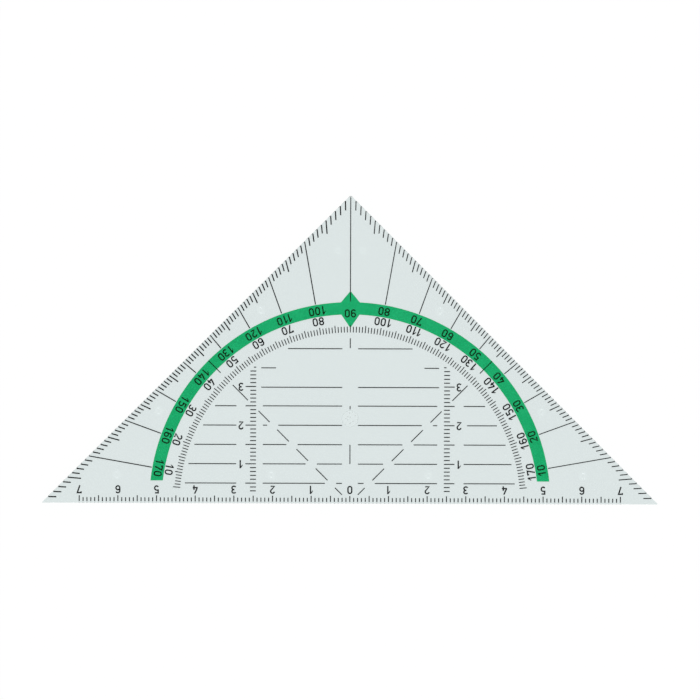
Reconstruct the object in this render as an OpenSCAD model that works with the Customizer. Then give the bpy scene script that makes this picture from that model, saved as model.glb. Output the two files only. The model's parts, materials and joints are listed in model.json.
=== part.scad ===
// Geometry triangle: a clear moulded set square with a printed protractor, a ruler and guide lines.
// Units are millimetres. The origin is the middle of the long edge, on the plate's underside.
// X runs along the long edge, Y towards the right-angled apex and Z up through the plate.
// The print lies on the underside and is read from above, through the plate.

/* [Plate] */
// Length of the long edge, measured between the sharp corners
long_edge = 159.6; // [140:0.1:260]
// Thickness of the plate
plate_t = 2; // [1:0.1:4]
// Radius of the two sharp corners, seen from above
corner_r = 0.15; // [0.1:0.05:0.8]
// Radius of the right-angled corner, seen from above
apex_r = 0.6; // [0.1:0.1:1.8]
// Height of the moulded nubs that hold the print off the paper
nub_h = 0.3; // [0.2:0.05:0.8]
// Width of a nub where it leaves the plate
nub_d = 2.4; // [1.7:0.1:3]
// Width of the round gate mark on the underside
gate_d = 4.3; // [2:0.1:5]
// Depth of the gate mark
gate_depth = 0.15; // [0.05:0.05:0.5]
// Height of the gate mark's centre above the zero line
gate_y = 21.7; // [12:0.1:28]

/* [Ink] */
// Thickness of the black ink film
ink_t = 0.04; // [0.02:0.01:0.1]
// Thickness of the green ink over the black film, seen from below
green_over_t = 0.04; // [0.02:0.01:0.1]
// Width of a ruler tick, a height tick and a degree tick on the right
tick_w = 0.27; // [0.1:0.01:0.4]
// Width of a degree tick along the left short edge, where the print is bolder
left_leg_tick_w = 0.33; // [0.1:0.01:0.4]
// Width of a tick in the ring of fine degree ticks
ring_tick_w = 0.24; // [0.1:0.01:0.3]
// Width of the guide lines, the diagonals and the rays on the right
line_w = 0.25; // [0.1:0.01:0.4]
// Width of the rays from the left short edge, where the print is bolder
left_ray_w = 0.28; // [0.1:0.01:0.4]
// Distance from the long edge to the zero line of the print
zero_inset = 0.21; // [0.1:0.01:1]

/* [Ruler on the long edge] */
// Distance from one tick to the next, also on the height scales
ruler_step = 1; // [0.9:0.05:1.2]
// Least distance from a corner to the last numbered mark
ruler_end_margin = 6; // [5:0.5:20]
// Gap between the zero line and the ticks
ruler_gap = 0.2; // [0:0.05:0.5]
// Length of a tick
ruler_tick = 1.05; // [0.5:0.05:1.3]
// Length of every fifth tick
ruler_long_tick = 1.56; // [1.4:0.02:1.8]
// Height of the numerals' middle above the zero line
ruler_numeral_y = 3.3; // [3.2:0.02:3.6]

/* [Degree ticks along the short edges] */
// Angle from one numbered ray to the next
ray_step = 10; // [9:0.5:11]
// Gap between a short edge and the ticks
leg_gap = 0.15; // [0.1:0.05:0.5]
// Depth of a one-degree tick midway along the edge, square to it
leg_tick = 1.62; // [0.5:0.01:2.2]
// Growth of the one-degree ticks' depth from the sharp corners to the apex
leg_tick_growth = 0.22; // [0:0.01:0.4]
// Depth of a five-degree tick, square to the edge
leg_long_tick = 2.65; // [2.5:0.01:3.5]
// Gap between the long rays and the green band
ray_gap = 0.15; // [0.1:0.05:1]
// Distance from the rounded apex down to the start of the centre line
apex_gap = 0.3; // [0.1:0.05:3]

/* [Green band] */
// Distance from the short edges to the band, square to them
band_margin = 4.38; // [3:0.01:8]
// Width of the band
band_w = 3.19; // [2.6:0.01:3.6]
// Height of the band's level ends above the zero line
band_end_y = 5.63; // [3:0.01:8]
// Reach of the pointer beyond the outer side of the band
pointer_out = 2.88; // [1.5:0.02:3.5]
// Reach of the pointer inside the inner side of the band
pointer_in = 3.5; // [2:0.05:3.6]
// Half width of the pointer where it leaves the band
pointer_half_w = 2.4; // [2:0.1:4]
// Reach of the 45 degree marks inside the inner side of the band
band_mark_in = 1.3; // [0.5:0.1:2.5]

/* [Ring of degree ticks] */
// Distance from the band's inner side to the inner ends of the ticks
ring_depth = 4.66; // [4.5:0.02:6]
// Length of a one-degree tick
ring_tick = 1.52; // [1:0.02:1.6]
// Length of a five-degree tick
ring_long_tick = 1.88; // [1.7:0.02:1.9]
// First and last angle of the ring, counted from the zero line
ring_first_angle = 5; // [4:1:9]

/* [Numerals] */
// Height of a numeral
digit_h = 2.15; // [1.6:0.05:2.25]
// Width of a numeral
digit_w = 1.34; // [1.1:0.02:1.5]
// Width of a numeral's stroke
stroke_w = 0.36; // [0.2:0.01:0.4]
// Distance from one numeral to the next
digit_pitch = 1.6; // [1.55:0.05:2]
// Distance from the band's inner side out to the middle of the numerals on it
band_numeral_out = 1.55; // [1.3:0.05:1.8]
// Distance from the band's inner side in to the middle of the numerals beside it
ring_numeral_in = 1.2; // [1.15:0.05:1.6]
// Distance from the band's inner side out to the middle of the number on the pointer
pointer_numeral_out = 0.28; // [0:0.01:0.6]
// Shift of all numbers along the ring, clockwise of their rays
number_shift = 0.12; // [0:0.01:0.3]
// Extra shift of the number 10, clockwise too
ten_shift = 0.33; // [0:0.01:0.4]
// Shift of the numbers on the band towards the middle line, from both sides
band_number_rise = 0.12; // [0:0.01:0.3]
// Shift of the numbers beside the band away from the middle line, to both sides
ring_number_drop = 0.15; // [0:0.01:0.3]
// Distance by which two ones side by side stand closer than other numerals
ones_kern = 0.42; // [0:0.02:0.5]

/* [Height scales] */
// Distance of each height scale from the middle of the triangle
scale_x = 25; // [20:0.5:32]
// Reach of the ticks towards the middle
scale_in = 0.7; // [0.2:0.1:1.5]
// Reach of a tick away from the middle
scale_out = 0.83; // [0.3:0.01:1.5]
// Reach of every fifth tick away from the middle
scale_long_out = 2.05; // [1.6:0.05:2.2]
// Height of the lowest tick, in ruler steps
scale_first = 3; // [3:1:5]
// Distance from the scale out to the middle of its numerals
scale_numeral_out = 3.2; // [3:0.1:3.5]
// Drop of the numerals below the ticks that they name
height_numeral_drop = 0.09; // [0:0.01:0.3]

/* [Guide lines] */
// Gap between the ring of degree ticks and everything inside it
guide_ring_gap = 1.09; // [0.5:0.01:3]
// Half width of the free strip along the middle
guide_centre_gap = 2.05; // [1.5:0.05:3]
// Gap between a height scale and the guide lines inside it
guide_scale_gap = 1.75; // [1:0.05:4]
// Distance from a height scale to the guide lines outside it
guide_outer_start = 4.4; // [4.3:0.1:6]
// Number of the height scale beside the one right-hand guide line that starts further out
late_line_number = 2; // [1:1:3]
// Distance by which that line starts further out
late_line_gap = 0.87; // [0:0.01:2]
// Half gap in a guide line where a diagonal crosses it
guide_cross_gap = 1.45; // [0.8:0.05:2]
// Half width of the bare field, which has no guide lines
bare_half_w = 19.2; // [10:0.1:22]
// Height of the bare field's lower side above the zero line
bare_low = 31; // [30.5:0.5:33]
// Height of the bare field's upper side above the zero line
bare_high = 38.5; // [36:0.5:39.5]
// Extra reach of the guide lines next to the bare field, away from the middle
upper_line_reach = 0.45; // [0:0.05:0.6]
// Drop of the guide lines next to the bare field below their even steps
upper_line_drop = 0.17; // [0:0.01:0.2]
// Gap by which the middle line stops short of the other lines' circle
centre_end_gap = 0.4; // [0:0.05:1]

/* [Diagonals] */
// Gap from a guide line to the start of the next diagonal dash, along X
dash_after = 0.8; // [0.5:0.05:1.5]
// Gap from the end of a diagonal dash to the next guide line, along X
dash_before = 1.15; // [0.5:0.05:1.5]
// Gap between a diagonal dash and a height scale, along X
dash_scale_gap = 0.6; // [0.3:0.05:2]

/* [Nubs] */
// Distance of the two apex nubs from the middle line
nub_apex_x = 3.25; // [2:0.05:6]
// Distance of the two apex nubs below the apex
nub_apex_drop = 14.4; // [12:0.1:18]
// Distance of the nubs on the short sides from the band
nub_band_gap = 2.9; // [1.8:0.1:3.5]
// Angle of the lower nubs on the short sides, counted from the zero line
nub_low_angle = 25.5; // [15:0.5:40]
// Angle of the upper nubs on the short sides, counted from the zero line
nub_high_angle = 65; // [50:0.5:75]
// Distance of the corner nubs from the sharp corners
nub_corner_x = 19.3; // [16:0.1:22]
// Distance of the two base nubs from the middle line
nub_base_x = 20.3; // [14:0.1:22]
// Height of the corner and base nubs above the lowest guide line
nub_guide_gap = 2.1; // [1.4:0.1:2.5]

/* [Hidden] */
$fn = 96;

// Angle step of the drawn curves in the numerals
arc_step = 15;
// Ticks of every scale from one longer tick, and from one number, to the next
fifth = 5;
tenth = 10;
// Angles of the middle line, the diagonals and a full half turn
upright = 90;
diagonal_angle = 45;
half_turn = 180;
// Overlap of the cutting shapes past the faces that they cut
cut_over = 1;
// Depth by which a nub is rooted in the plate
nub_root = 0.3;
// Least distance from the print to the gate mark
gate_clear = 0.3;
// Least distance from a diagonal to a numeral's rounded box
numeral_clear = 0.08;
// Radius that rounds the corners of a numeral's box
numeral_round = 0.62;
// Smallest length worth printing
least_dash = 0.3;
// Limit that keeps a stroke's sharp corners short
least_mitre = 0.6;

half_edge = long_edge / 2;
// Distance from the zero mark to each sharp corner, along the zero line
reach = half_edge - zero_inset;
// Distance from the zero mark to each short edge, square to it
leg_distance = reach / sqrt(2);
band_r_out = leg_distance - band_margin;
band_r_in = band_r_out - band_w;
ray_r_in = band_r_out + ray_gap;
ring_r_in = band_r_in - ring_depth;
// Everything inside the ring ends on this circle
guide_r = ring_r_in - guide_ring_gap;
// Distance from one number of the ruler or of a height scale to the next
number_step = tenth * ruler_step;
ruler_numbers = floor((half_edge - ruler_end_margin) / number_step);
ruler_ticks_each_way = floor(ruler_numbers * tenth);
// The guide lines meet the longer ticks of the height scales
guide_step = fifth * ruler_step;
// Angle from one degree tick to the next
tick_step = ray_step / tenth;
// Numbered rays on each side, clear of the middle line
ray_count = ceil(upright / ray_step - 1.5);
// The 45 degree marks lie midway between two numbers
band_mark_angle = (floor(diagonal_angle / ray_step) + 0.5) * ray_step;
// The kite of the pointer runs past the band's sides to its widest point
pointer_slope_out = pointer_out / pointer_half_w;
pointer_slope_in = pointer_in / pointer_half_w;
pointer_extra = band_w / (pointer_slope_out + pointer_slope_in);
pointer_wide = pointer_half_w + pointer_extra;
pointer_wide_y = band_r_out - pointer_extra * pointer_slope_out;
// The sphere whose cap makes a nub
nub_r = (pow(nub_d / 2, 2) + pow(nub_h, 2)) / (2 * nub_h);
// Numeral box and the half sizes of its stroke's middle line
half_w = digit_w / 2;
half_h = digit_h / 2;
mid_w = half_w - stroke_w / 2;
mid_h = half_h - stroke_w / 2;

// Distance from the zero mark along an angle to a line that lies a depth inside the short edge
function leg_r(angle, depth) = (reach - depth * sqrt(2)) / (abs(cos(angle)) + sin(angle));

// Half length of the chord that lies a distance from the middle of a circle
function half_chord(radius, away) = away < radius ? sqrt(pow(radius, 2) - pow(away, 2)) : 0;

// Half length of a level line at a height, inside the guide circle
function guide_half(y) = half_chord(guide_r, y);

// Half width of the gate mark at a height
function gate_half(y) = half_chord(gate_d / 2, abs(y - gate_y));

// Points along an elliptic arc
function arc_points(centre, rx, ry, from, to) =
    let (steps = max(1, ceil(abs(to - from) / arc_step)))
    [for (i = [0:steps])
        let (angle = from + (to - from) * i / steps)
        centre + [rx * cos(angle), ry * sin(angle)]];

// A closed ellipse, without repeating its first point
function ellipse_points(centre, rx, ry) =
    [for (angle = [0:arc_step:360 - arc_step]) centre + [rx * cos(angle), ry * sin(angle)]];

function backwards(list) = [for (i = [len(list) - 1:-1:0]) list[i]];

function turned(points) = [for (p = points) -p];

function heading(p, q) = (q - p) / norm(q - p);

// One side of a stroke drawn along a path, with mitred corners
function stroke_side(path, side) =
    let (last = len(path) - 1)
    [for (i = [0:last])
        let (before = heading(path[max(i - 1, 0)], path[max(i, 1)]),
            after = heading(path[min(i, last - 1)], path[min(i + 1, last)]),
            both = before + after,
            mitre = max(1 + before * after, least_mitre))
        path[i] + side * stroke_w / 2 * [-both.y, both.x] / mitre];

function stroke_outline(path) = concat(stroke_side(path, 1), backwards(stroke_side(path, -1)));

// Shapes shared by the numerals
bowl_y = mid_h / 2;
bowl_out = bowl_y + stroke_w / 2;
bowl_in = bowl_y - stroke_w / 2;
waist = asin(bowl_y / bowl_out);
inner_w = half_w - stroke_w;
hook = 155;

function nought() = [
    concat(arc_points([0, half_h - half_w], half_w, half_w, 0, 180),
        arc_points([0, half_w - half_h], half_w, half_w, 180, 360)),
    concat(arc_points([0, half_h - half_w], inner_w, inner_w, 0, 180),
        arc_points([0, half_w - half_h], inner_w, inner_w, 180, 360))];

function one() =
    let (flag_w = 0.65 * half_w, flag_h = 0.3 * digit_h, flag_low = half_h - flag_h - stroke_w,
        flag_top = 0.1 * stroke_w, notch = 1.4 * stroke_w)
    [[[stroke_w, -half_h], [stroke_w, half_h], [flag_top, half_h],
        [-flag_w, half_h - flag_h], [-flag_w, flag_low],
        [0, half_h - notch], [0, -half_h]]];

function two() =
    let (bow_from = 170, bow_to = -30)
    [stroke_outline(concat(
        arc_points([0, mid_h - mid_w], mid_w, mid_w, bow_from, bow_to),
        [[-mid_w, -mid_h], [mid_w, -mid_h]]))];

function three() = [concat(
    arc_points([0, bowl_y], half_w, bowl_out, hook, -waist),
    arc_points([0, -bowl_y], half_w, bowl_out, waist, -hook),
    arc_points([0, -bowl_y], inner_w, bowl_in, -hook, 90),
    [[-inner_w / 2, -stroke_w / 2], [-inner_w / 2, stroke_w / 2]],
    arc_points([0, bowl_y], inner_w, bowl_in, -90, hook))];

function four() =
    let (bar_low = -0.62 * half_h, bar_high = bar_low + stroke_w,
        stem_in = 0.2 * half_w, stem_out = stem_in + stroke_w, stem_top = 0.1 * half_h,
        lean_in = -0.1 * half_w, lean_w = 1.15 * stroke_w)
    [[[-half_w, bar_low], [stem_in, bar_low], [stem_in, -half_h], [stem_out, -half_h],
        [stem_out, bar_low], [half_w, bar_low], [half_w, bar_high], [stem_out, bar_high],
        [stem_out, stem_top], [stem_in, stem_top], [stem_in, bar_high],
        [lean_w - half_w, bar_high], [lean_in + lean_w, half_h], [lean_in, half_h],
        [-half_w, bar_high]]];

function five() =
    let (bowl_top = 0.2 * mid_h, bowl_h = (bowl_top + mid_h) / 2, bar_w = 0.85 * mid_w, bow_to = -150)
    [stroke_outline(concat(
        [[bar_w, mid_h], [-bar_w, mid_h], [-bar_w, bowl_top]],
        arc_points([0, bowl_top - bowl_h], mid_w, bowl_h, 90, bow_to)))];

function six() =
    let (ring_h = 0.64 * half_h, ring_y = ring_h - half_h,
        // The inner side of the stem meets the ring at this angle
        meet = acos(-inner_w / half_w),
        bend_y = max(half_h - half_w, ring_y + ring_h * sin(meet)), bend_h = half_h - bend_y, bend_to = 22)
    [concat(
        arc_points([0, ring_y], half_w, ring_h, 180, 360 + meet),
        arc_points([0, bend_y], inner_w, bend_h - stroke_w, 180, bend_to),
        arc_points([0, bend_y], half_w, bend_h, bend_to, 180)),
    ellipse_points([0, ring_y], inner_w, ring_h - stroke_w)];

function seven() =
    let (flag_low = 0.62 * mid_h, foot_x = -0.3 * mid_w,
        foot_lean = atan2(mid_w - foot_x, mid_h + half_h),
        foot_y = stroke_w / 2 * sin(foot_lean) - half_h)
    [stroke_outline([[-mid_w, flag_low], [-mid_w, mid_h], [mid_w, mid_h], [foot_x, foot_y]])];

function eight() = [concat(
    arc_points([0, bowl_y], half_w, bowl_out, -waist, 180 + waist),
    arc_points([0, -bowl_y], half_w, bowl_out, 180 - waist, 360 + waist)),
    ellipse_points([0, bowl_y], inner_w, bowl_in),
    ellipse_points([0, -bowl_y], inner_w, bowl_in)];

function nine() = [for (loop = six()) turned(loop)];

digit_loops = [nought(), one(), two(), three(), four(), five(), six(), seven(), eight(), nine()];

// One closed outline with its counters
module outline(loops) {
    starts = [for (k = 0, s = 0; k < len(loops); s = s + len(loops[k]), k = k + 1) s];
    points = [for (loop = loops) each loop];
    polygon(points, [for (k = [0:len(loops) - 1]) [for (i = [0:len(loops[k]) - 1]) starts[k] + i]]);
}

// The film of ink that a flat shape prints, on the underside of the plate
module film(depth = ink_t, over = 0) {
    translate([0, zero_inset, -depth])
        linear_extrude(depth + over)
            children();
}

// The digits of a whole number, from left to right
function digits_of(value) = [for (c = str(value)) ord(c) - ord("0")];

module digit(value) {
    outline(digit_loops[value]);
}

// A number in a level row
module level_number(value) {
    digits = digits_of(value);
    last = len(digits) - 1;
    for (i = [0:last])
        translate([(i - last / 2) * digit_pitch, 0])
            digit(digits[i]);
}

// A number along the ring, its tops towards the zero mark
module ring_number(value, angle, radius) {
    digits = digits_of(value);
    last = len(digits) - 1;
    places = [for (i = 0, x = 0; i <= last;
        x = x + digit_pitch - (digits[i] == 1 && digits[i + 1] == 1 ? ones_kern : 0), i = i + 1) x];
    for (i = [0:last])
        rotate(angle + (places[i] - places[last] / 2) / radius * half_turn / PI)
            translate([radius, 0])
                rotate(upright)
                    digit(digits[i]);
}

// A line with square ends between two points
module line(from, to, width) {
    along = to - from;
    translate(from)
        rotate(atan2(along.y, along.x))
            translate([0, -width / 2])
                square([norm(along), width]);
}

module radial_line(angle, r_from, r_to, width) {
    rotate(angle)
        translate([r_from, -width / 2])
            square([r_to - r_from, width]);
}

module mirrored_left() {
    mirror([1, 0, 0])
        children();
}

// The triangle with its three rounded corners, seen from above
module plate_outline() {
    side_x = half_edge - corner_r * (1 + sqrt(2));
    side_slant = corner_r / sqrt(2);
    apex_y = half_edge - apex_r * sqrt(2);
    apex_slant = apex_r / sqrt(2);
    // The straight edges end where they touch the corner circles
    polygon([
        [-side_x, 0], [side_x, 0],
        [side_x + side_slant, corner_r + side_slant], [apex_slant, apex_y + apex_slant],
        [-apex_slant, apex_y + apex_slant], [-side_x - side_slant, corner_r + side_slant]]);
    for (x = [-side_x, side_x])
        translate([x, corner_r])
            circle(corner_r);
    translate([0, apex_y])
        circle(apex_r);
}

module nub() {
    intersection() {
        translate([0, 0, nub_r - nub_h])
            sphere(nub_r);
        translate([0, 0, -nub_h - cut_over])
            cylinder(h = nub_h + cut_over + nub_root, d = nub_d);
    }
}

// Places of the nubs on the right-hand side, from the zero mark
function nub_places() = concat(
    [[nub_apex_x, reach - nub_apex_drop]],
    [for (a = [nub_low_angle, nub_high_angle]) (band_r_out + nub_band_gap) * [cos(a), sin(a)]],
    [[reach - nub_corner_x, guide_step + nub_guide_gap], [nub_base_x, guide_step + nub_guide_gap]]);

module plate() {
    color("gainsboro", 0.4) {
        difference() {
            linear_extrude(plate_t)
                plate_outline();
            translate([0, zero_inset + gate_y, -cut_over])
                cylinder(h = gate_depth + cut_over, d = gate_d);
        }
        for (p = nub_places(), side = [-1, 1])
            translate([side * p.x, zero_inset + p.y, 0])
                nub();
    }
}

module band_shape() {
    intersection() {
        difference() {
            circle(band_r_out);
            circle(band_r_in);
        }
        translate([-band_r_out, band_end_y])
            square([2 * band_r_out, band_r_out]);
    }
}

module pointer_shape() {
    polygon([[0, band_r_out + pointer_out], [-pointer_wide, pointer_wide_y],
        [0, band_r_in - pointer_in], [pointer_wide, pointer_wide_y]]);
}

// Green ink laid over the black marks, which stay embedded in its upper side
module green_band() {
    color("mediumseagreen")
        difference() {
            film(ink_t + green_over_t) {
                band_shape();
                pointer_shape();
            }
            film(ink_t, cut_over) {
                band_numeral_shapes();
                band_mark_shapes();
                apex_line_shape();
                upright_tick_shape();
            }
        }
}

module ruler_ticks() {
    color("black")
        film()
            for (i = [-ruler_ticks_each_way:ruler_ticks_each_way]) {
                tick = i % fifth == 0 ? ruler_long_tick : ruler_tick;
                line([i * ruler_step, ruler_gap], [i * ruler_step, ruler_gap + tick], tick_w);
            }
}

module ruler_numerals() {
    color("black")
        film()
            for (n = [-ruler_numbers:ruler_numbers])
                translate([n * number_step, ruler_numeral_y])
                    rotate(half_turn)
                        level_number(abs(n));
}

module degree_ticks(width) {
    for (ray = [0:ray_count], i = [1:tenth - 1]) {
        angle = ray * ray_step + i * tick_step;
        // Share of the short edge between its sharp corner and this tick
        share = sin(angle) / (cos(angle) + sin(angle));
        tick = i == fifth ? leg_long_tick : leg_tick + leg_tick_growth * (share - 0.5);
        radial_line(angle, leg_r(angle, leg_gap + tick), leg_r(angle, leg_gap), width);
    }
}

module left_degree_ticks() {
    color("black")
        film()
            mirrored_left()
                degree_ticks(left_leg_tick_w);
}

module right_degree_ticks() {
    color("black")
        film()
            degree_ticks(tick_w);
}

module degree_rays(width) {
    for (ray = [1:ray_count])
        radial_line(ray * ray_step, ray_r_in, leg_r(ray * ray_step, leg_gap), width);
}

module left_degree_rays() {
    color("black")
        film()
            mirrored_left()
                degree_rays(left_ray_w);
}

module right_degree_rays() {
    color("black")
        film()
            degree_rays(line_w);
}

module apex_line_shape() {
    radial_line(upright, ray_r_in, reach - apex_r * (sqrt(2) - 1) - apex_gap, line_w);
}

module apex_line() {
    color("black")
        film()
            apex_line_shape();
}

module upright_tick_shape() {
    radial_line(upright, ring_r_in, ring_r_in + ring_long_tick, ring_tick_w);
}

module ring_ticks() {
    first = ceil(ring_first_angle / tick_step);
    last = ceil(upright / tick_step - 1.5);
    color("black")
        film() {
            upright_tick_shape();
            for (i = [first:last], angle = [i * tick_step, half_turn - i * tick_step]) {
                tick = i % fifth == 0 ? ring_long_tick : ring_tick;
                radial_line(angle, ring_r_in, ring_r_in + tick, ring_tick_w);
            }
        }
}

// Value printed at an angle
function angle_value(angle) = round(angle / tick_step);

// The numbers of both sides, which count up towards the left or towards the right
module ring_numbers(radius, leftwards, rise) {
    turn = half_turn / PI / radius;
    last = angle_value(half_turn);
    for (ray = [1:ray_count], right = [true, false]) {
        angle = ray * ray_step;
        value = angle_value(angle);
        shown = right == leftwards ? value : last - value;
        shift = number_shift + (shown == tenth ? ten_shift : 0);
        raised = angle + rise * turn;
        ring_number(shown, (right ? raised : half_turn - raised) - shift * turn, radius);
    }
}

module band_numeral_shapes() {
    ring_number(angle_value(upright), upright, band_r_in + pointer_numeral_out);
    ring_numbers(band_r_in + band_numeral_out, true, band_number_rise);
}

module band_numerals() {
    color("black")
        film()
            band_numeral_shapes();
}

module ring_numerals() {
    color("black")
        film()
            ring_numbers(band_r_in - ring_numeral_in, false, -ring_number_drop);
}

module band_mark_shapes() {
    for (angle = [band_mark_angle, half_turn - band_mark_angle])
        radial_line(angle, band_r_in - band_mark_in, band_r_out, line_w);
}

module band_marks() {
    color("black")
        film()
            band_mark_shapes();
}

// Ticks of the right-hand height scale, each cut short by the guide circle
module height_ticks() {
    for (i = [scale_first:floor(guide_r / ruler_step)]) {
        y = i * ruler_step;
        tick_end = min(scale_x + (i % fifth == 0 ? scale_long_out : scale_out), guide_half(y));
        if (tick_end > scale_x - scale_in + least_dash)
            line([scale_x - scale_in, y], [tick_end, y], tick_w);
    }
}

module left_height_ticks() {
    color("black")
        film()
            mirrored_left()
                height_ticks();
}

module right_height_ticks() {
    color("black")
        film()
            height_ticks();
}

// Numbers of a height scale whose middles lie inside the guide circle
height_numeral_x = scale_x + scale_numeral_out;
height_numbers = floor(guide_half(height_numeral_x + half_w) / number_step);

module height_numerals() {
    color("black")
        film()
            for (n = [1:height_numbers], side = [-1, 1])
                translate([side * height_numeral_x, n * number_step - height_numeral_drop])
                    rotate(half_turn)
                        level_number(n);
}

guide_count = floor((guide_r - least_dash) / guide_step);

// A level line on the right-hand side, parted where the diagonal crosses it
module parted_line(y, from, to) {
    first_end = min(to, y - guide_cross_gap);
    second_start = max(from, y + guide_cross_gap);
    if (first_end > from + least_dash)
        line([from, y], [first_end, y], line_w);
    if (to > second_start + least_dash)
        line([second_start, y], [to, y], line_w);
}

module inner_guide_half() {
    for (k = [1:guide_count]) {
        y = k * guide_step;
        bare = y > bare_low && y < bare_high;
        upper = y + guide_step > bare_low;
        extra = upper ? upper_line_reach : 0;
        line_end = min(scale_x - scale_in - guide_scale_gap, guide_half(y)) + extra;
        line_start = max(guide_centre_gap, gate_half(y) + gate_clear);
        parted_line(y - (upper ? upper_line_drop : 0), bare ? bare_half_w : line_start, line_end);
    }
}

module inner_guide_lines() {
    color("black")
        film() {
            inner_guide_half();
            mirrored_left()
                inner_guide_half();
        }
}

module outer_guide_lines(late_gap = 0) {
    for (k = [1:guide_count]) {
        late = k * fifth == late_line_number * tenth ? late_gap : 0;
        parted_line(k * guide_step, scale_x + guide_outer_start + late, guide_half(k * guide_step));
    }
}

module left_guide_lines() {
    color("black")
        film()
            mirrored_left()
                outer_guide_lines();
}

module right_guide_lines() {
    color("black")
        film()
            outer_guide_lines(late_line_gap);
}

// Stretches of the diagonal, along X, inside the rounded box of a numeral with a margin around it
function diagonal_cuts(centre, margin) =
    let (corner = min(numeral_round, half_w), straight_w = half_w - corner, straight_h = half_h - corner,
        wide = half_w + margin, high = half_h + margin,
        level = [max(centre.x - wide, centre.y - straight_h), min(centre.x + wide, centre.y + straight_h)],
        tall = [max(centre.x - straight_w, centre.y - high), min(centre.x + straight_w, centre.y + high)],
        round_cuts = [for (x = [-straight_w, straight_w], y = [-straight_h, straight_h])
            let (p = centre + [x, y],
                half = half_chord(corner + margin, abs(p.x - p.y) / sqrt(2)) / sqrt(2))
            [(p.x + p.y) / 2 - half, (p.x + p.y) / 2 + half]])
    [for (c = concat([level, tall], round_cuts)) if (c[1] > c[0]) c];

module diagonal_dashes() {
    inner_end = scale_x - scale_in - dash_scale_gap;
    for (k = [0:guide_count]) {
        from = max(guide_centre_gap, k * guide_step + dash_after);
        to = min(inner_end, (k + 1) * guide_step - dash_before);
        if (to > from + least_dash)
            line([from, from], [to, to], line_w);
    }
    outer_start = scale_x + scale_out + dash_scale_gap;
    outer_end = guide_r / sqrt(2);
    // The stretch of the diagonal that lies in the box of the nearest numeral is left out
    numeral_y = round(height_numeral_x / number_step) * number_step - height_numeral_drop;
    cuts = diagonal_cuts([height_numeral_x, numeral_y], numeral_clear + line_w / 2);
    stretches = len(cuts) == 0 ? [[outer_start, outer_end]]
        : [[outer_start, min(outer_end, min([for (c = cuts) c[0]]))],
            [max(outer_start, max([for (c = cuts) c[1]])), outer_end]];
    for (s = stretches)
        if (s[1] > s[0] + least_dash)
            line([s[0], s[0]], [s[1], s[1]], line_w);
}

module left_diagonal() {
    color("black")
        film()
            mirrored_left()
                diagonal_dashes();
}

module right_diagonal() {
    color("black")
        film()
            diagonal_dashes();
}

// Every second guide step of the middle line is printed, clear of the gate mark and the bare field
module centre_dashes() {
    gate_top = gate_y + gate_d / 2;
    gate_low = gate_y - gate_d / 2;
    color("black")
        film()
            for (y = [2 * guide_step:2 * guide_step:guide_r - least_dash]) {
                from = y > gate_low - guide_step && y < gate_top ? max(y, gate_top + gate_clear) : y;
                to = min(y + guide_step, guide_r - centre_end_gap);
                bare = to > bare_low && from < bare_high;
                if (!bare && to > from + least_dash)
                    line([0, from], [0, to], line_w);
            }
}

plate();
green_band();
ruler_ticks();
ruler_numerals();
left_degree_ticks();
right_degree_ticks();
left_degree_rays();
right_degree_rays();
apex_line();
ring_ticks();
band_numerals();
ring_numerals();
band_marks();
left_height_ticks();
right_height_ticks();
height_numerals();
inner_guide_lines();
left_guide_lines();
right_guide_lines();
left_diagonal();
right_diagonal();
centre_dashes();
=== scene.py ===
import bmesh
import bpy
import json
import math
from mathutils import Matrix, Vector


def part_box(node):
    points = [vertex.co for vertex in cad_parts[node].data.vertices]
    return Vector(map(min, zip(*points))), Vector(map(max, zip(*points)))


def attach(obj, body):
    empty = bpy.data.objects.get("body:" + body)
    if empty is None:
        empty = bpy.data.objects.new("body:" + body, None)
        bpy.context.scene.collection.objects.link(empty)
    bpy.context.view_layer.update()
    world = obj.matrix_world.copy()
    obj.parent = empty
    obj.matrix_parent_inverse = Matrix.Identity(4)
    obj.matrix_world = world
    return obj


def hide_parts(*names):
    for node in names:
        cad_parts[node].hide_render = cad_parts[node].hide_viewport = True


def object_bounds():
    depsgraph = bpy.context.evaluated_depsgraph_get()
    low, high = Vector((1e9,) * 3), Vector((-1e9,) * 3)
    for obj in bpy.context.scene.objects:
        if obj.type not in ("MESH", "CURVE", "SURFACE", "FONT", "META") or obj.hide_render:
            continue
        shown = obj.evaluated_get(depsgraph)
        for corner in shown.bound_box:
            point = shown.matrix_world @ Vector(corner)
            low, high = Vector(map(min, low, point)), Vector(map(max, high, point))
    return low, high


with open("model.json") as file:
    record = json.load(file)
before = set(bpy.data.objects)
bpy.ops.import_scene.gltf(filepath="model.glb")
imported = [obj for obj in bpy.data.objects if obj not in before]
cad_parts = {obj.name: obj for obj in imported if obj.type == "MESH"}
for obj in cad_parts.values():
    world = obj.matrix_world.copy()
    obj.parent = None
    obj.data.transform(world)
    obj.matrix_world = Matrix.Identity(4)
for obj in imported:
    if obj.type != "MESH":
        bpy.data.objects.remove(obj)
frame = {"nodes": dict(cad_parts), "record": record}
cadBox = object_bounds()
scene = bpy.context.scene
scene.view_settings.view_transform = "Standard"
print("frame loaded:", len(frame["nodes"]), "nodes")


# Helpers for working as by hand
def deselectAll():
    if bpy.context.mode != "OBJECT":
        bpy.ops.object.mode_set(mode="OBJECT")
    bpy.ops.object.select_all(action="DESELECT")


def activate(piece):
    deselectAll()
    piece.select_set(True)
    bpy.context.view_layer.objects.active = piece


def newPiece(name):
    piece = bpy.context.active_object  # what an add operator has just made
    piece.name = name
    piece.data.name = name
    return piece


def applyPlace(piece):
    activate(piece)
    bpy.ops.object.transform_apply(location=True, rotation=True, scale=True)


def editMode(piece):
    activate(piece)
    bpy.ops.object.mode_set(mode="EDIT")


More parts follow.
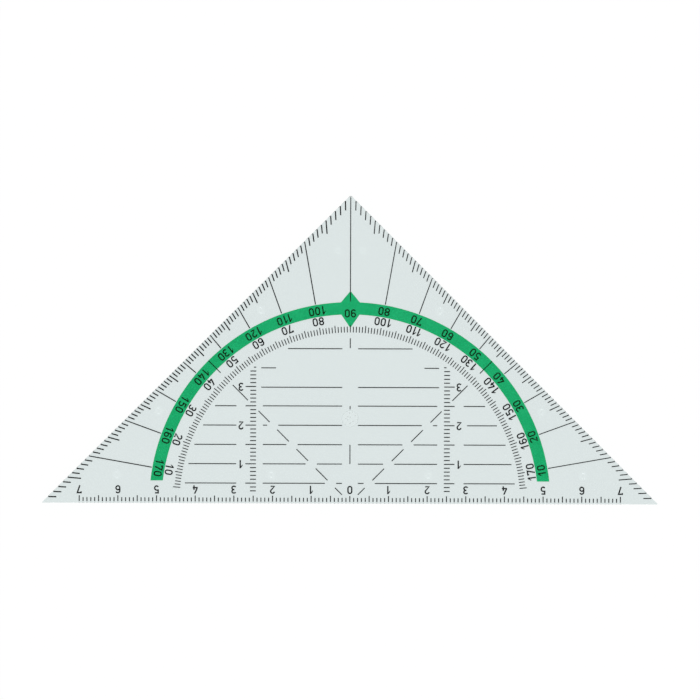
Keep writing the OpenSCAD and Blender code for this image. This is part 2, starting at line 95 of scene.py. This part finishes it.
def pickEdges(piece, wanted):
    bpy.ops.mesh.select_mode(type="EDGE")
    bpy.ops.mesh.select_all(action="DESELECT")
    bm = bmesh.from_edit_mesh(piece.data)
    for edge in bm.edges:
        edge.select_set(wanted(edge))
    bmesh.update_edit_mesh(piece.data)


def combineWith(piece, tool, operation):
    activate(piece)
    step = piece.modifiers.new("combine", "BOOLEAN")
    step.operation = operation
    step.solver = "EXACT"
    step.object = tool
    bpy.ops.object.modifier_apply(modifier=step.name)
    bpy.data.objects.remove(tool)


# Node helpers
def addNode(tree, kind, place, **values):
    node = tree.nodes.new(kind)
    node.location = place
    for key, value in values.items():
        setattr(node, key, value)
    return node


def freshMaterial(name):
    material = bpy.data.materials.new(name)
    material.use_nodes = True
    tree = material.node_tree
    tree.nodes.clear()
    output = addNode(tree, "ShaderNodeOutputMaterial", (900, 0))
    shader = addNode(tree, "ShaderNodeBsdfPrincipled", (400, 0))
    tree.links.new(shader.outputs["BSDF"], output.inputs["Surface"])
    return material, tree, shader, output


# Camera: straight down, at the photo's scale and slight turn
cameraView = {
    "imagePixels": 700,
    "pixelsPerMetre": 3865.7,
    "zeroPixel": (349.8, 502.75),  # the print's zero mark in the photo
    "zeroMark": (0.0, 0.00021),  # the same mark on the part
    "turnDegrees": 0.18,
    "height": 0.6,
    "clip": (0.01, 10),
}


def makeCamera():
    v = cameraView
    turn = math.radians(v["turnDegrees"])
    right = Vector((math.cos(turn), math.sin(turn)))
    up = Vector((-math.sin(turn), math.cos(turn)))
    middle = v["imagePixels"] / 2
    across = (middle - v["zeroPixel"][0]) / v["pixelsPerMetre"]
    along = (v["zeroPixel"][1] - middle) / v["pixelsPerMetre"]
    spot = Vector(v["zeroMark"]) + right * across + up * along
    deselectAll()
    bpy.ops.object.camera_add(location=(spot.x, spot.y, v["height"]), rotation=(0, 0, turn))
    camera = bpy.context.active_object
    camera.name = "photoCamera"
    camera.data.type = "ORTHO"
    camera.data.ortho_scale = v["imagePixels"] / v["pixelsPerMetre"]
    camera.data.clip_start, camera.data.clip_end = v["clip"]
    scene.camera = camera


makeCamera()
print("camera set")

# Clear plate: rounded triangle with nubs and a gate mark moulded on its underside
plateShape = {
    "sideRadius": 0.00015,
    "apexRadius": 0.0006,
    "cornerSegments": 10,
    "acuteProfile": 0.408,  # bends the bevel to a true arc at 45 degrees
    "rimRadius": 0.00012,  # soft moulded edges
    "rimSegments": 6,
    "inkGap": 0.00001,  # hair of air over the printed film
    "nubWidth": 0.0024,
    "nubTip": 0.98,  # share of a nub's height past which a point is at its tip
    "nubRoot": 0.0006,  # how far a nub reaches up into the plate
    "nubSegments": 48,
    "nubTrim": 1e-7,  # tolerance of the cut at its root
    "gateLeast": 0.00005,  # points of the CAD plate higher than this lie in the gate mark
    "gateSegments": 64,
    "gateSoftness": 0.00004,
    "gateSoftSegments": 4,
    "smoothDegrees": 20,
    "flatWeight": 100,  # large faces keep their own normal
}


def nubPlaces():
    # the lowest points of the CAD plate, one place for each nub
    places = []
    apart = plateShape["nubWidth"]
    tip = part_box("plate")[0].z * plateShape["nubTip"]
    for vertex in frame["nodes"]["plate"].data.vertices:
        if vertex.co.z < tip and all((vertex.co - p).length > apart for p in places):
            places.append(vertex.co.copy())
    return places


def gateCircle():
    # the rim of the shallow round recess in the CAD plate
    least = plateShape["gateLeast"]
    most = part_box("plate")[1].z / 2
    inside = [v.co for v in frame["nodes"]["plate"].data.vertices if least < v.co.z < most]
    xs = [p.x for p in inside]
    ys = [p.y for p in inside]
    middle = ((min(xs) + max(xs)) / 2, (min(ys) + max(ys)) / 2)
    return middle, (max(xs) - min(xs)) / 2, max(p.z for p in inside)


def makePlateBody():
    s = plateShape
    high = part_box("plate")[1]
    sharp = high.x + math.sqrt(2) * s["sideRadius"]  # half the long edge, to its sharp corners
    radius = sharp * 2 / 3  # of a three-sided cylinder, which is widened to a right angle
    under = s["inkGap"]

    def upright(edge):
        first, second = edge.verts
        return abs(first.co.z - second.co.z) > high.z / 2

    deselectAll()
    bpy.ops.mesh.primitive_cylinder_add(
        vertices=3, radius=radius, depth=high.z - under, end_fill_type="NGON",
        location=(0, radius / 2, (high.z + under) / 2), scale=(math.sqrt(3), 1, 1))
    body = newPiece("clearPlate")
    applyPlace(body)
    editMode(body)
    pickEdges(body, lambda e: upright(e) and e.verts[0].co.y > radius)  # the right angle
    bpy.ops.mesh.bevel(offset=s["apexRadius"], segments=s["cornerSegments"], affect="EDGES")
    pickEdges(body, lambda e: upright(e) and abs(e.verts[0].co.x) > radius)  # the two 45 degree corners
    reach = s["sideRadius"] / math.tan(math.radians(45 / 2))
    bpy.ops.mesh.bevel(offset=reach, segments=s["cornerSegments"], profile=s["acuteProfile"],
                       affect="EDGES")
    pickEdges(body, lambda e: not upright(e))
    bpy.ops.mesh.bevel(offset=s["rimRadius"], segments=s["rimSegments"], affect="EDGES")
    bpy.ops.object.mode_set(mode="OBJECT")
    return body


def makeNubs():
    s = plateShape
    height = -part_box("plate")[0].z
    radius = (s["nubWidth"] ** 2 / 4 + height ** 2) / (2 * height)  # a cap of that width and height
    deselectAll()
    bpy.ops.mesh.primitive_uv_sphere_add(
        segments=s["nubSegments"], ring_count=s["nubSegments"], radius=radius,
        location=(0, 0, radius - height))
    nub = newPiece("nub")
    applyPlace(nub)
    editMode(nub)
    bpy.ops.mesh.select_all(action="SELECT")
    bpy.ops.mesh.bisect(plane_co=(0, 0, s["nubRoot"]), plane_no=(0, 0, 1), use_fill=True,
                        clear_outer=True, threshold=s["nubTrim"])
    bpy.ops.object.mode_set(mode="OBJECT")
    copies = []
    for place in nubPlaces():
        copy = nub.copy()
        copy.data = nub.data.copy()
        copy.location = (place.x, place.y, 0)
        scene.collection.objects.link(copy)
        copies.append(copy)
    bpy.data.objects.remove(nub)
    activate(copies[0])
    for copy in copies:
        copy.select_set(True)
    bpy.ops.object.join()
    nubs = newPiece("nubs")
    applyPlace(nubs)
    return nubs


def makeGateCutter():
    s = plateShape
    middle, radius, depth = gateCircle()
    deselectAll()
    bpy.ops.mesh.primitive_cylinder_add(
        vertices=s["gateSegments"], radius=radius, depth=2 * depth, end_fill_type="NGON",
        location=(middle[0], middle[1], 0))
    cutter = newPiece("gateCutter")
    applyPlace(cutter)
    editMode(cutter)
    pickEdges(cutter, lambda e: min(v.co.z for v in e.verts) > depth / 2)
    bpy.ops.mesh.bevel(offset=s["gateSoftness"], segments=s["gateSoftSegments"], affect="EDGES")
    bpy.ops.object.mode_set(mode="OBJECT")
    return cutter


def makePlate():
    plate = makePlateBody()
    combineWith(plate, makeNubs(), "UNION")
    combineWith(plate, makeGateCutter(), "DIFFERENCE")
    activate(plate)
    bpy.ops.object.shade_smooth_by_angle(angle=math.radians(plateShape["smoothDegrees"]))
    flat = plate.modifiers.new("flatFaces", "WEIGHTED_NORMAL")
    flat.keep_sharp = True
    flat.weight = plateShape["flatWeight"]
    bpy.ops.object.modifier_apply(modifier=flat.name)
    return plate


plate = makePlate()
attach(plate, "root")
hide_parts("plate")
print("plate modelled:", len(plate.data.polygons), "faces")

# Fine unevenness that the plastic and the inks share
grainLook = {
    "detail": 3,
    "span": (0.3, 0.7),  # most of the noise lies between these
}


def makeGrainGroup():
    group = bpy.data.node_groups.new("fineGrain", "ShaderNodeTree")
    sockets = group.interface
    for name in ("Fine scale", "Broad scale", "Broad share"):
        sockets.new_socket(name, in_out="INPUT", socket_type="NodeSocketFloat")
    sockets.new_socket("Mask", in_out="OUTPUT", socket_type="NodeSocketFloat")
    enter = addNode(group, "NodeGroupInput", (-600, 0))
    leave = addNode(group, "NodeGroupOutput", (500, 0))
    place = addNode(group, "ShaderNodeTexCoord", (-600, -250))
    fine = addNode(group, "ShaderNodeTexNoise", (-300, 150))
    broad = addNode(group, "ShaderNodeTexNoise", (-300, -150))
    both = addNode(group, "ShaderNodeMix", (200, 0), data_type="FLOAT")
    for noise, scale in ((fine, "Fine scale"), (broad, "Broad scale")):
        noise.inputs["Detail"].default_value = grainLook["detail"]
        group.links.new(place.outputs["Object"], noise.inputs["Vector"])
        group.links.new(enter.outputs[scale], noise.inputs["Scale"])
    group.links.new(enter.outputs["Broad share"], both.inputs["Factor"])
    group.links.new(fine.outputs["Fac"], both.inputs["A"])
    group.links.new(broad.outputs["Fac"], both.inputs["B"])
    group.links.new(both.outputs["Result"], leave.inputs["Mask"])
    return group


fineGrain = makeGrainGroup()


def addGrain(tree, place, fineScale, broadScale, broadShare):
    grain = addNode(tree, "ShaderNodeGroup", place, node_tree=fineGrain)
    grain.inputs["Fine scale"].default_value = fineScale
    grain.inputs["Broad scale"].default_value = broadScale
    grain.inputs["Broad share"].default_value = broadShare
    return grain.outputs["Mask"]


def rangeOf(tree, mask, place, low, high):
    span = addNode(tree, "ShaderNodeMapRange", place)
    span.inputs["From Min"].default_value, span.inputs["From Max"].default_value = grainLook["span"]
    span.inputs["To Min"].default_value = low
    span.inputs["To Max"].default_value = high
    tree.links.new(mask, span.inputs["Value"])
    return span.outputs["Result"]


def tones(tree, mask, place, dark, light):
    mix = addNode(tree, "ShaderNodeMix", place, data_type="RGBA")
    mix.inputs["A"].default_value = (*dark, 1)
    mix.inputs["B"].default_value = (*light, 1)
    tree.links.new(rangeOf(tree, mask, (place[0] - 200, place[1]), 0, 1), mix.inputs["Factor"])
    return mix.outputs["Result"]


def bumpFrom(tree, mask, place, distance):
    bump = addNode(tree, "ShaderNodeBump", place)
    bump.inputs["Strength"].default_value = 1
    bump.inputs["Distance"].default_value = distance
    tree.links.new(mask, bump.inputs["Height"])
    return bump.outputs["Normal"]


# Clear plastic
plasticLook = {
    "tintDark": (0.776, 0.844, 0.842),
    "tintLight": (0.787, 0.856, 0.853),
    "lampTint": (0.934, 0.957, 0.954),  # what each face lets through from lamps and sky
    "roughLow": 0.015,
    "roughHigh": 0.05,
    "ior": 1.5,
    "grain": (1800, 35, 0.7),  # fine scale, broad scale and broad share
    "wave": (300, 45, 0.8),  # the same for the long waves of a moulded face
    "waveHeight": 0.0000004,
    "caughtGlowColor": (0.44, 0.54, 0.53),  # painted glow standing in for light that stays inside the plate, seen in its edges
    "caughtBounces": 4,
    # painted highlight: a lighter tint for the face of the gate mark
    "gateHighlightTint": (0.812, 0.880, 0.876),
    "gateInner": 0.85,  # share of the gate mark's radius inside which that tint is full
    "gateFlatness": 20,  # keeps the plate's upper side out of the tint
    "speckTint": (0.560, 0.610, 0.600),  # small specks on the face of the gate mark
    "speckScale": 1050,
    "speckInner": 0.105,  # shares of the distance between specks
    "speckOuter": 0.21,
}


def gateTones(tree, plain):
    # the face of the gate mark is painted a little lighter, a painted highlight, and has small specks
    s = plasticLook
    middle, radius, depth = gateCircle()
    place = addNode(tree, "ShaderNodeTexCoord", (-1300, 700))
    fromMiddle = addNode(tree, "ShaderNodeVectorMath", (-1100, 700), operation="SUBTRACT")
    fromMiddle.inputs[1].default_value = (*middle, depth)
    flatten = addNode(tree, "ShaderNodeVectorMath", (-900, 700), operation="MULTIPLY")
    flatten.inputs[1].default_value = (1, 1, s["gateFlatness"])
    away = addNode(tree, "ShaderNodeVectorMath", (-700, 700), operation="LENGTH")
    inside = addNode(tree, "ShaderNodeMapRange", (-500, 700), interpolation_type="SMOOTHSTEP")
    inside.inputs["From Min"].default_value = radius
    inside.inputs["From Max"].default_value = radius * s["gateInner"]
    cells = addNode(tree, "ShaderNodeTexVoronoi", (-900, 450), voronoi_dimensions="2D")
    cells.inputs["Scale"].default_value = s["speckScale"]
    specks = addNode(tree, "ShaderNodeMapRange", (-500, 450))
    specks.inputs["From Min"].default_value = s["speckOuter"]
    specks.inputs["From Max"].default_value = s["speckInner"]
    both = addNode(tree, "ShaderNodeMath", (-300, 600), operation="MULTIPLY")
    # painted highlight: mixes the lighter tint in over the gate face
    lighter = addNode(tree, "ShaderNodeMix", (100, 400), data_type="RGBA")
    lighter.inputs["B"].default_value = (*s["gateHighlightTint"], 1)
    speckled = addNode(tree, "ShaderNodeMix", (300, 400), data_type="RGBA")
    speckled.inputs["B"].default_value = (*s["speckTint"], 1)
    tree.links.new(place.outputs["Object"], fromMiddle.inputs[0])
    tree.links.new(fromMiddle.outputs["Vector"], flatten.inputs[0])
    tree.links.new(flatten.outputs["Vector"], away.inputs[0])
    tree.links.new(away.outputs["Value"], inside.inputs["Value"])
    tree.links.new(place.outputs["Object"], cells.inputs["Vector"])
    tree.links.new(cells.outputs["Distance"], specks.inputs["Value"])
    tree.links.new(inside.outputs["Result"], both.inputs[0])
    tree.links.new(specks.outputs["Result"], both.inputs[1])
    tree.links.new(inside.outputs["Result"], lighter.inputs["Factor"])
    tree.links.new(plain, lighter.inputs["A"])
    tree.links.new(both.outputs["Value"], speckled.inputs["Factor"])
    tree.links.new(lighter.outputs["Result"], speckled.inputs["A"])
    return speckled.outputs["Result"]


def clearPlastic():
    s = plasticLook
    material, tree, shader, output = freshMaterial("clearPlastic")
    mask = addGrain(tree, (-500, 0), *s["grain"])
    plain = tones(tree, mask, (0, 200), s["tintDark"], s["tintLight"])
    tree.links.new(gateTones(tree, plain), shader.inputs["Base Color"])
    rough = rangeOf(tree, mask, (0, 0), s["roughLow"], s["roughHigh"])
    tree.links.new(rough, shader.inputs["Roughness"])
    wave = addGrain(tree, (-500, -250), *s["wave"])
    tree.links.new(bumpFrom(tree, wave, (0, -250), s["waveHeight"]), shader.inputs["Normal"])
    shader.inputs["IOR"].default_value = s["ior"]
    shader.inputs["Transmission Weight"].default_value = 1
    # light on its way to what lies below goes straight through
    path = addNode(tree, "ShaderNodeLightPath", (200, 500))
    lighting = addNode(tree, "ShaderNodeMath", (400, 400), operation="MAXIMUM")
    through = addNode(tree, "ShaderNodeBsdfTransparent", (400, 200))
    through.inputs["Color"].default_value = (*s["lampTint"], 1)
    choose = addNode(tree, "ShaderNodeMixShader", (700, 100))
    tree.links.new(path.outputs["Is Shadow Ray"], lighting.inputs[0])
    tree.links.new(path.outputs["Is Diffuse Ray"], lighting.inputs[1])
    tree.links.new(lighting.outputs["Value"], choose.inputs["Fac"])
    tree.links.new(shader.outputs["BSDF"], choose.inputs[1])
    tree.links.new(through.outputs["BSDF"], choose.inputs[2])
    # painted glow: paths still inside after many bounces end in a fixed emission, standing in for light
    # caught in the plate and seen in its edges
    deep = addNode(tree, "ShaderNodeMath", (700, 400), operation="GREATER_THAN")
    deep.inputs[1].default_value = s["caughtBounces"]
    caught = addNode(tree, "ShaderNodeEmission", (700, -100))
    caught.inputs["Color"].default_value = (*s["caughtGlowColor"], 1)
    final = addNode(tree, "ShaderNodeMixShader", (900, 150))
    output.location = (1100, 150)
    tree.links.new(path.outputs["Ray Depth"], deep.inputs[0])
    tree.links.new(deep.outputs["Value"], final.inputs["Fac"])
    tree.links.new(choose.outputs["Shader"], final.inputs[1])
    tree.links.new(caught.outputs["Emission"], final.inputs[2])
    tree.links.new(final.outputs["Shader"], output.inputs["Surface"])
    return material


# Printed inks
inkLooks = {
    "black_ink": {
        "dark": (0.006, 0.006, 0.007),
        "light": (0.014, 0.014, 0.015),
        "rough": (0.42, 0.58),
    },
    "green_ink": {
        "dark": (0.004, 0.460, 0.156),
        "light": (0.020, 0.582, 0.220),
        "rough": (0.38, 0.52),
    },
    "band_black": {  # the black film on the green band, which lets a little green through
        "dark": (0.0003, 0.026, 0.002),
        "light": (0.001, 0.040, 0.005),
        "rough": (0.42, 0.58),
        "nodes": ("band_numerals", "band_marks"),
    },
}
inkFilm = {
    "grain": (2600, 260, 0.4),  # fine scale, broad scale and broad share
    "grainHeight": 0.000003,
    "shine": 0.1,  # bonded to the plastic, so nearly none
}


def printedInk(slot):
    s = inkLooks[slot]
    material, tree, shader, _ = freshMaterial(slot)
    mask = addGrain(tree, (-500, 0), *inkFilm["grain"])
    tree.links.new(tones(tree, mask, (0, 200), s["dark"], s["light"]), shader.inputs["Base Color"])
    tree.links.new(rangeOf(tree, mask, (0, 0), *s["rough"]), shader.inputs["Roughness"])
    tree.links.new(bumpFrom(tree, mask, (0, -250), inkFilm["grainHeight"]), shader.inputs["Normal"])
    shader.inputs["Specular IOR Level"].default_value = inkFilm["shine"]
    return material


plate.data.materials.clear()
plate.data.materials.append(clearPlastic())
inks = {slot: printedInk(slot) for slot in inkLooks}
for part in frame["record"]["subparts"]:
    if part["material_slot"] in inks:
        onBand = part["node"] in inkLooks["band_black"]["nodes"]
        look = "band_black" if onBand else part["material_slot"]
        for holder in frame["nodes"][part["node"]].material_slots:
            holder.material = inks[look]
print("materials made")

# Floor and soft studio light
stageLook = {
    "floorSize": 6.0,
    "floorColor": (0.98, 0.98, 0.98),
    "floorRough": 0.9,
    "floorGlow": 0.9,  # share of the white ground that no shadow reaches
    "skyLevel": 0.87,
    "overheadLevel": 0.05,  # the dark camera side above the plate
    "overheadInner": 10,  # degrees from straight up
    "overheadOuter": 26,
    "lampSize": (0.55, 0.28),
    "lampAway": 0.55,
    "lampHeight": 0.42,
    "lampPower": 1.2,  # watts each
}


def makeFloor():
    deselectAll()
    bpy.ops.mesh.primitive_plane_add(size=stageLook["floorSize"], location=(0, 0, cadBox[0].z))
    floor = newPiece("floor")
    material, tree, shader, output = freshMaterial("floorPaper")
    shader.inputs["Base Color"].default_value = (*stageLook["floorColor"], 1)
    shader.inputs["Roughness"].default_value = stageLook["floorRough"]
    shader.inputs["Specular IOR Level"].default_value = 0
    # a white ground for the camera, for reflections and through the clear plate
    path = addNode(tree, "ShaderNodeLightPath", (-200, 400))
    seen = addNode(tree, "ShaderNodeMath", (0, 400), operation="MAXIMUM")
    clear = addNode(tree, "ShaderNodeMath", (200, 400), operation="MAXIMUM")
    share = addNode(tree, "ShaderNodeMath", (400, 400), operation="MULTIPLY")
    share.inputs[1].default_value = stageLook["floorGlow"]
    glow = addNode(tree, "ShaderNodeEmission", (400, 200))
    glow.inputs["Color"].default_value = (1, 1, 1, 1)
    choose = addNode(tree, "ShaderNodeMixShader", (700, 100))
    tree.links.new(path.outputs["Is Camera Ray"], seen.inputs[0])
    tree.links.new(path.outputs["Is Glossy Ray"], seen.inputs[1])
    tree.links.new(seen.outputs["Value"], clear.inputs[0])
    tree.links.new(path.outputs["Is Transmission Ray"], clear.inputs[1])
    tree.links.new(clear.outputs["Value"], share.inputs[0])
    tree.links.new(share.outputs["Value"], choose.inputs["Fac"])
    tree.links.new(shader.outputs["BSDF"], choose.inputs[1])
    tree.links.new(glow.outputs["Emission"], choose.inputs[2])
    tree.links.new(choose.outputs["Shader"], output.inputs["Surface"])
    floor.data.materials.append(material)


def makeSky():
    s = stageLook
    world = bpy.data.worlds.new("softRoom")
    scene.world = world
    world.use_nodes = True
    tree = world.node_tree
    tree.nodes.clear()
    output = addNode(tree, "ShaderNodeOutputWorld", (600, 0))
    light = addNode(tree, "ShaderNodeBackground", (200, 100))
    backdrop = addNode(tree, "ShaderNodeBackground", (200, -100))
    choose = addNode(tree, "ShaderNodeMixShader", (400, 0))
    path = addNode(tree, "ShaderNodeLightPath", (0, 300))
    place = addNode(tree, "ShaderNodeTexCoord", (-600, 0))
    split = addNode(tree, "ShaderNodeSeparateXYZ", (-400, 0))
    level = addNode(tree, "ShaderNodeMapRange", (-200, 0), interpolation_type="SMOOTHSTEP")
    level.inputs["From Min"].default_value = math.cos(math.radians(s["overheadOuter"]))
    level.inputs["From Max"].default_value = math.cos(math.radians(s["overheadInner"]))
    level.inputs["To Min"].default_value = s["skyLevel"]
    level.inputs["To Max"].default_value = s["overheadLevel"]
    backdrop.inputs["Strength"].default_value = 1  # plain white where the camera looks past the floor
    tree.links.new(place.outputs["Generated"], split.inputs["Vector"])
    tree.links.new(split.outputs["Z"], level.inputs["Value"])
    tree.links.new(level.outputs["Result"], light.inputs["Strength"])
    tree.links.new(path.outputs["Is Camera Ray"], choose.inputs["Fac"])
    tree.links.new(light.outputs["Background"], choose.inputs[1])
    tree.links.new(backdrop.outputs["Background"], choose.inputs[2])
    tree.links.new(choose.outputs["Shader"], output.inputs["Surface"])
    for shade in (light, backdrop):
        shade.inputs["Color"].default_value = (1, 1, 1, 1)


def makeLamps():
    s = stageLook
    middle = (cadBox[0] + cadBox[1]) / 2
    for name, side in (("lampFar", 1), ("lampNear", -1)):
        deselectAll()
        spot = (0, middle.y + side * s["lampAway"], s["lampHeight"])
        bpy.ops.object.light_add(type="AREA", location=spot)
        lamp = bpy.context.active_object
        lamp.name = name
        lamp.data.shape = "RECTANGLE"
        lamp.data.size, lamp.data.size_y = s["lampSize"]
        lamp.data.energy = s["lampPower"]
        lamp.rotation_euler = (lamp.location - middle).to_track_quat("Z", "Y").to_euler()
        lamp.visible_camera = False
        lamp.visible_glossy = False  # no mirrored glare over the print in low views


makeFloor()
makeSky()
makeLamps()
print("stage lit")
